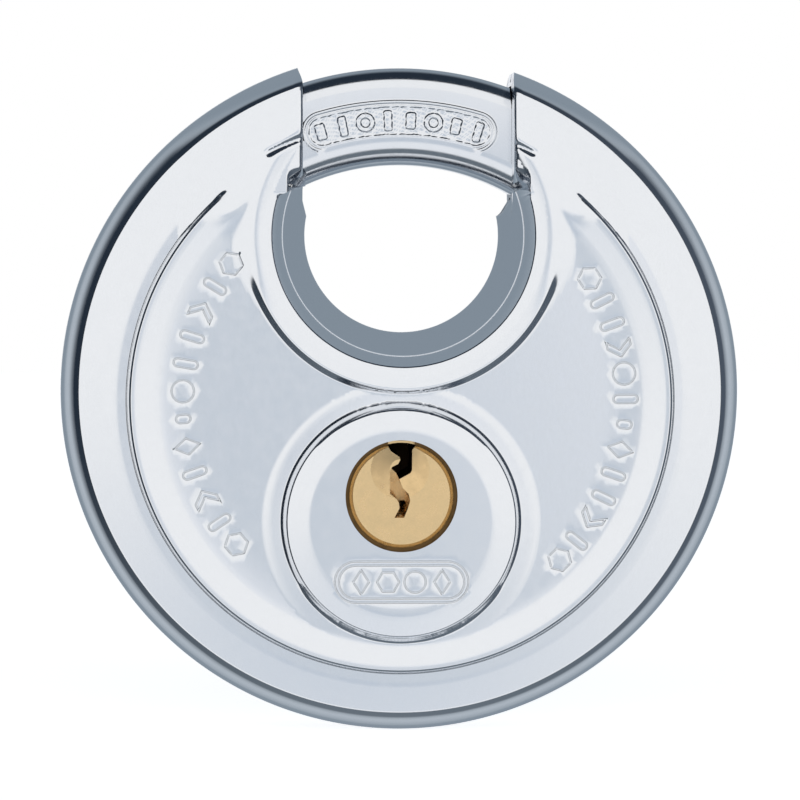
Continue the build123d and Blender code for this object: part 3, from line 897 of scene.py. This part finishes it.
def panel_height(across, along_deg):
    """Raised oblong panel with its rim and generic bars, on the front of the bar."""
    radius = ARC_R + across
    along = np.radians(along_deg) * PANEL_R
    half_long = radians(PANEL_HALF_DEG) * PANEL_R - PANEL_HALF
    ends = np.maximum(np.abs(along) - half_long, 0.0)
    away = np.hypot(ends, radius - PANEL_R) - PANEL_HALF
    ridge = RIDGE_UP * (1 - smooth_step(np.abs(away), 0.05, 0.22))
    second = SECOND_UP * (1 - smooth_step(np.abs(away + SECOND_IN), 0.03, 0.17))
    floor = -FLOOR_DEEP * (1 - smooth_step(away, -0.75, -0.5))
    height = ridge + second + floor
    for i in range(BAR_MARKS):
        at = (i - (BAR_MARKS - 1) / 2) * BAR_PITCH
        if i % 3 == 2:
            from_ring = np.abs(np.hypot(along - at, radius - PANEL_R) - RING_MARK_R)
            height += BAR_MARK_UP * (1 - smooth_step(from_ring, *RING_MARK_HALF))
            continue
        wide, high = (0.42, 1.05) if i % 2 else (0.62, 0.95)
        dx = np.maximum(np.abs(along - at) - wide / 2, 0.0)
        dz = np.maximum(np.abs(radius - PANEL_R) - high + wide / 2, 0.0)
        height += BAR_MARK_UP * (1 - smooth_step(np.hypot(dx, dz), 0.08, 0.30))
    # A small hammered grain on the floor of the panel.
    grain = np.sin(along * 9.1 + radius * 3.3) * np.sin(radius * 11.7 - along * 4.9)
    grain = grain + np.sin(along * 5.3 - radius * 7.9 + 2 * np.sin(along * 1.7))
    height += GRAIN_UP * grain * (1 - smooth_step(away, -0.6, -0.35))
    return height


def bar_crown(across):
    """The front of the bar is very slightly crowned."""
    return -CROWN * np.square(across / BAR_HALF_WIDE)


def build_shackle():
    """The arc with its panel, round ends and the flat for the fork behind its heel."""
    points = bar_section()
    fine = np.arange(90 - FINE_HALF_DEG, 90 + FINE_HALF_DEG + 0.01, FINE_DEG)
    degrees = np.concatenate([np.linspace(HEEL_DEG, fine[0] - 0.5, 150), fine,
                              np.linspace(fine[-1] + 0.5, TOE_DEG, 22)])
    front = points[:, 1] > BAR_HALF_DEEP - 1e-6
    rows = []
    for deg in degrees:
        a = radians(deg)
        across, deep = points[:, 0].copy(), points[:, 1].copy()
        lift = np.where(front, panel_height(across, np.full(across.shape, 90 - deg)), 0.0)
        deep = deep + lift + np.where(deep > 0, bar_crown(across) * 0.6, 0.0)
        if deg < HEEL_FLAT_DEG:
            deep = np.maximum(deep, HEEL_FLAT_DEPTH)
        r = ARC_R + across
        rows.append(np.stack([r * cos(a), deep, r * sin(a)], axis=1))
    bar = Patches()
    bar.strip(rows, closed=True, flip=True)
    for row, inset, flip in ((rows[0], 1, True), (rows[-1], -1, False)):
        add_bar_end(bar, row, inset, flip)
    return make_object("shackle_bar", *weld(bar))


def add_bar_end(bar, row, inset, flip):
    """Slightly domed end of the bar."""
    centre = row.mean(axis=0)
    tangent = np.cross((0.0, 1.0, 0.0), centre)
    tangent /= np.linalg.norm(tangent)
    rings = [row]
    for shrink, out in ((0.97, 0.10), (0.92, 0.22), (0.8, 0.36), (0.5, 0.5), (0.02, 0.56)):
        rings.append(centre + (row - centre) * shrink + tangent * out * inset)
    bar.strip(np.array(rings), closed=True, flip=not flip)


# ---- materials ----
def new_material(name, colour, roughness, metallic=1.0):
    """A plain Principled material and its shader."""
    material = bpy.data.materials.new(name)
    material.use_nodes = True
    shader = material.node_tree.nodes["Principled BSDF"]
    shader.inputs["Base Color"].default_value = (*colour, 1.0)
    shader.inputs["Roughness"].default_value = roughness
    shader.inputs["Metallic"].default_value = metallic
    return material, shader


def link(tree, source, target):
    """Joins an output to an input."""
    tree.links.new(source, target)


def noise_node(tree, scale, detail=2.0, stretch=(1.0, 1.0, 1.0)):
    """Noise in the object's own coordinates, stretched along chosen axes."""
    place = tree.nodes.new("ShaderNodeTexCoord")
    mapping = tree.nodes.new("ShaderNodeMapping")
    mapping.inputs["Scale"].default_value = stretch
    noise = tree.nodes.new("ShaderNodeTexNoise")
    noise.inputs["Scale"].default_value = scale
    noise.inputs["Detail"].default_value = detail
    link(tree, place.outputs["Object"], mapping.inputs["Vector"])
    link(tree, mapping.outputs["Vector"], noise.inputs["Vector"])
    return noise


def ranged(tree, source, low, high):
    """Spreads the middle of a noise over a range."""
    node = tree.nodes.new("ShaderNodeMapRange")
    node.inputs["From Min"].default_value = 0.3
    node.inputs["From Max"].default_value = 0.7
    node.inputs["To Min"].default_value = low
    node.inputs["To Max"].default_value = high
    link(tree, source, node.inputs["Value"])
    return node.outputs["Result"]


def add_bumps(tree, shader, layers):
    """Stacks bumps. Each layer is (height output, distance in metres)."""
    normal = None
    for height, distance in layers:
        bump = tree.nodes.new("ShaderNodeBump")
        bump.inputs["Strength"].default_value = 1.0
        bump.inputs["Distance"].default_value = distance
        link(tree, height, bump.inputs["Height"])
        if normal:
            link(tree, normal, bump.inputs["Normal"])
        normal = bump.outputs["Normal"]
    link(tree, normal, shader.inputs["Normal"])


def metal(name, colour, roughness, rough_spread, waves, grain, stretch, spread):
    """Metal with slow waves, fine grain and uneven polish."""
    material, shader = new_material(name, colour, roughness)
    tree = material.node_tree
    slow = noise_node(tree, 160.0, 1.0)
    fine = noise_node(tree, 9000.0, 3.0, stretch)
    polish = noise_node(tree, 900.0, 3.0)
    link(tree, ranged(tree, polish.outputs["Fac"], roughness - rough_spread, roughness + rough_spread),
         shader.inputs["Roughness"])
    tint = tree.nodes.new("ShaderNodeMix")
    tint.data_type = "RGBA"
    tint.inputs["A"].default_value = (*[c * (1 - spread) for c in colour], 1.0)
    tint.inputs["B"].default_value = (*[min(1.0, c * (1 + spread)) for c in colour], 1.0)
    link(tree, fine.outputs["Fac"], tint.inputs["Factor"])
    link(tree, tint.outputs["Result"], shader.inputs["Base Color"])
    add_bumps(tree, shader, ((slow.outputs["Fac"], waves), (fine.outputs["Fac"], grain)))
    return material


PLAIN = (1.0, 1.0, 1.0)
# Colour, roughness, its spread, height of the waves and of the grain in metres, stretch of the grain, and
# spread of the colour.
METALS = {
    "stainless_cup": ((0.82, 0.84, 0.87), 0.13, 0.03, 8e-6, 2.5e-7, (1.0, 1.0, 0.35), 0.04),
    "hardened_steel": ((0.80, 0.82, 0.85), 0.14, 0.03, 6e-6, 2.5e-7, PLAIN, 0.04),
    "brass": ((0.86, 0.62, 0.33), 0.24, 0.05, 6e-6, 1.2e-6, PLAIN, 0.10),
    "inner_steel": ((0.46, 0.47, 0.48), 0.38, 0.08, 8e-6, 1.5e-6, PLAIN, 0.10),
    "zinc_core": ((0.42, 0.43, 0.45), 0.5, 0.08, 2e-5, 4e-6, PLAIN, 0.12),
    "spring_steel": ((0.55, 0.55, 0.56), 0.25, 0.05, 4e-6, 6e-7, PLAIN, 0.06),
    # Near-black brass: painted shade deep in the keyway.
    "keyway_painted_shade_brass": ((0.035, 0.022, 0.012), 0.5, 0.05, 6e-6, 1.2e-6, PLAIN, 0.04),
    # Dark brown brass: painted shade on the plug's collar behind the shell's hole.
    "collar_painted_shade_brass": ((0.20, 0.12, 0.05), 0.45, 0.05, 6e-6, 1.2e-6, PLAIN, 0.04),
    "weld_bead": ((0.66, 0.66, 0.68), 0.3, 0.08, 4e-5, 3e-6, PLAIN, 0.12),
}


# ---- studio ----
# Brightness of the studio round the object by the angle from the -Y direction, to each of four sides of it.
# Each entry is (angle in degrees, (red, green, blue)).
WHITE = (1.0, 1.0, 1.0)
SOFT_WHITE = (0.93, 0.95, 0.98)
BLUE_GREY = (0.64, 0.69, 0.75)
PALE = (0.88, 0.90, 0.94)
DARK = (0.02, 0.03, 0.045)
DUSK = (0.08, 0.10, 0.13)
GLOOM = (0.16, 0.19, 0.22)
MID = (0.26, 0.31, 0.36)
HAZE = (0.50, 0.55, 0.60)
STUDIO = {
    "up": ((0, BLUE_GREY), (1.5, (0.80, 0.84, 0.89)), (3.5, SOFT_WHITE), (9, WHITE), (48, WHITE), (54, DARK),
           (98, DARK), (125, MID), (158, MID), (174, PALE)),
    "down": ((0, BLUE_GREY), (6, (0.66, 0.71, 0.77)), (14, (0.60, 0.66, 0.74)), (24, SOFT_WHITE),
             (46, SOFT_WHITE), (52, GLOOM), (95, GLOOM), (113, HAZE), (140, MID), (158, MID), (174, PALE)),
    "left": ((0, BLUE_GREY), (4, (0.68, 0.72, 0.78)), (9, WHITE), (48, WHITE), (54, DARK), (96, DARK),
             (115, HAZE), (140, MID), (158, MID), (174, PALE)),
    "right": ((0, BLUE_GREY), (3, (0.80, 0.83, 0.88)), (5.5, PALE), (9, WHITE), (48, WHITE), (54, DUSK),
              (95, DUSK), (113, HAZE), (140, MID), (158, MID), (174, PALE)),
}


def direction_ramp(tree, angle, stops):
    """Colours of one direction by the angle, which runs from 0 to 1."""
    ramp = tree.nodes.new("ShaderNodeValToRGB")
    ramp.color_ramp.interpolation = "EASE"
    elements = ramp.color_ramp.elements
    for place, (at, colour) in enumerate(stops):
        element = elements[place] if place < 2 else elements.new(at / 180)
        element.position = at / 180
        element.color = (*colour, 1.0)
    link(tree, angle, ramp.inputs["Fac"])
    return ramp.outputs["Color"]


def math_node(tree, operation, *values):
    """A maths node over numbers and outputs."""
    node = tree.nodes.new("ShaderNodeMath")
    node.operation = operation
    for place, value in enumerate(values):
        if isinstance(value, (int, float)):
            node.inputs[place].default_value = value
        else:
            link(tree, value, node.inputs[place])
    return node.outputs["Value"]


def make_world():
    """The studio that the metal mirrors, behind which the backdrop itself is plain white."""
    world = bpy.data.worlds.new("studio")
    world.use_nodes = True
    bpy.context.scene.world = world
    tree = world.node_tree
    tree.nodes.clear()
    place = tree.nodes.new("ShaderNodeTexCoord")
    split = tree.nodes.new("ShaderNodeSeparateXYZ")
    link(tree, place.outputs["Generated"], split.inputs["Vector"])
    x, y, z = (split.outputs[axis] for axis in "XYZ")
    toward = math_node(tree, "MULTIPLY", y, -1.0)
    angle = math_node(tree, "DIVIDE", math_node(tree, "ARCCOSINE", toward), pi)
    across = math_node(tree, "SUBTRACT", 1.0, math_node(tree, "MULTIPLY", y, y))
    across = math_node(tree, "MAXIMUM", across, 1e-6)
    total = None
    for name, axis, sign in (("up", z, 1.0), ("down", z, -1.0), ("left", x, -1.0), ("right", x, 1.0)):
        part = math_node(tree, "MAXIMUM", math_node(tree, "MULTIPLY", axis, sign), 0.0)
        weight = math_node(tree, "DIVIDE", math_node(tree, "MULTIPLY", part, part), across)
        share = tree.nodes.new("ShaderNodeVectorMath")
        share.operation = "MULTIPLY_ADD"
        link(tree, direction_ramp(tree, angle, STUDIO[name]), share.inputs[0])
        link(tree, weight, share.inputs[1])
        if total:
            link(tree, total, share.inputs[2])
        total = share.outputs["Vector"]
    studio = tree.nodes.new("ShaderNodeBackground")
    link(tree, total, studio.inputs["Color"])
    paper = tree.nodes.new("ShaderNodeBackground")
    paper.inputs["Color"].default_value = (1.0, 1.0, 1.0, 1.0)
    rays = tree.nodes.new("ShaderNodeLightPath")
    mix = tree.nodes.new("ShaderNodeMixShader")
    link(tree, rays.outputs["Is Camera Ray"], mix.inputs["Fac"])
    link(tree, studio.outputs["Background"], mix.inputs[1])
    link(tree, paper.outputs["Background"], mix.inputs[2])
    output = tree.nodes.new("ShaderNodeOutputWorld")
    link(tree, mix.outputs["Shader"], output.inputs["Surface"])


CAMERA_AT = (-0.0130, -0.5110, 0.0170)
CAMERA_AIM = (0.00018, -0.0110, -0.00107)
CAMERA_LENS = 215.8
FLOOR_Z = -0.0351
FLOOR_SIZE = 2.4
FLOOR_GLOW = 0.8


def make_camera():
    """The camera in front of the lock, a little to the left and above."""
    camera = bpy.data.objects.new("camera", bpy.data.cameras.new("camera"))
    camera.data.lens = CAMERA_LENS
    camera.data.sensor_width = 36.0
    camera.data.clip_start = 0.01
    camera.data.clip_end = 20.0
    camera.location = CAMERA_AT
    aim = Vector(CAMERA_AIM) - camera.location
    camera.rotation_euler = aim.to_track_quat("-Z", "Y").to_euler()
    bpy.context.scene.collection.objects.link(camera)
    bpy.context.scene.camera = camera


def make_floor():
    """A pale floor under the lock, bright enough to run into the white backdrop."""
    mesh = bpy.data.meshes.new("floor")
    h = FLOOR_SIZE / 2
    corners = ((-h, -h), (h, -h), (h, h), (-h, h))
    mesh.from_pydata([(x, y, FLOOR_Z) for x, y in corners], [], [(0, 1, 2, 3)])
    floor = bpy.data.objects.new("floor", mesh)
    bpy.context.scene.collection.objects.link(floor)
    material, shader = new_material("pale_floor", (0.93, 0.93, 0.93), 0.8, 0.0)
    shader.inputs["Emission Color"].default_value = (1.0, 1.0, 1.0, 1.0)
    shader.inputs["Emission Strength"].default_value = FLOOR_GLOW
    mesh.materials.append(material)
    floor.visible_glossy = False


# ---- the object ----
SLOT_OF = {
    "anti_drill_plate": "hardened_steel",
    "plug": "brass",
    "cylinder_body": "brass",
    "core_block": "zinc_core",
}
COLLAR_BACK, KEYWAY_BACK = 0.2, 1.2  # how far behind the plug's front the painted shade on the collar and in the keyway begins


def finish_of(node):
    """Material slot of a CAD node that isn't listed in SLOT_OF."""
    if node.startswith(("key_pin", "driver_pin")):
        return "brass"
    if node.startswith("pin_spring"):
        return "spring_steel"
    return "inner_steel"


def shade_plug(plug, materials):
    """Painted shade on the plug: dark, unpolished brass on its collar and near-black brass deep in the
    keyway.
    """
    mesh = plug.data
    keyway_shade, collar_shade = 1, 2
    mesh.materials.append(materials["keyway_painted_shade_brass"])
    mesh.materials.append(materials["collar_painted_shade_brass"])
    front = min(v.co.y for v in mesh.vertices) / MM
    for face in mesh.polygons:
        x, y, z = face.center / MM
        r = hypot(x, z - PLUG_Z)
        wall = abs(face.normal.y) < 0.3
        # Painted shade on the collar behind the shell's hole.
        if r > PLUG_FACE_R and y > front + COLLAR_BACK:
            face.material_index = collar_shade
        # Painted shade in the upper keyway: its walls, and faces deeper than KEYWAY_BACK.
        elif r < PLUG_FACE_R and z > PLUG_Z + KEYWAY_DARK_UP and (wall or y > front + KEYWAY_BACK):
            face.material_index = keyway_shade


def dress_nodes(materials):
    """Gives every CAD node its material."""
    for name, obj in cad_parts.items():
        obj.data.materials.clear()
        obj.data.materials.append(materials[SLOT_OF.get(name, finish_of(name))])
    shade_plug(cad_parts["plug"], materials)


def stand_for(piece, node, body, material):
    """Puts a detailed piece in the place of a CAD node."""
    piece.data.materials.append(material)
    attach(piece, body)
    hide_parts(node)


bpy.context.scene.view_settings.view_transform = "Standard"
looks = {name: metal(name, *values) for name, values in METALS.items()}
cup, steel = looks["stainless_cup"], looks["hardened_steel"]
dress_nodes(looks)
stand_for(build_cup("front_cup", True), "front_shell", "casing", cup)
stand_for(build_cup("rear_cup", False), "rear_shell", "casing", cup)
stand_for(build_liner(), "throat_liner", "casing", steel)
stand_for(build_shackle(), "shackle", "shackle", steel)
stand_for(build_weld(), "rim_weld", "casing", looks["weld_bead"])
make_world()
make_floor()
make_camera()
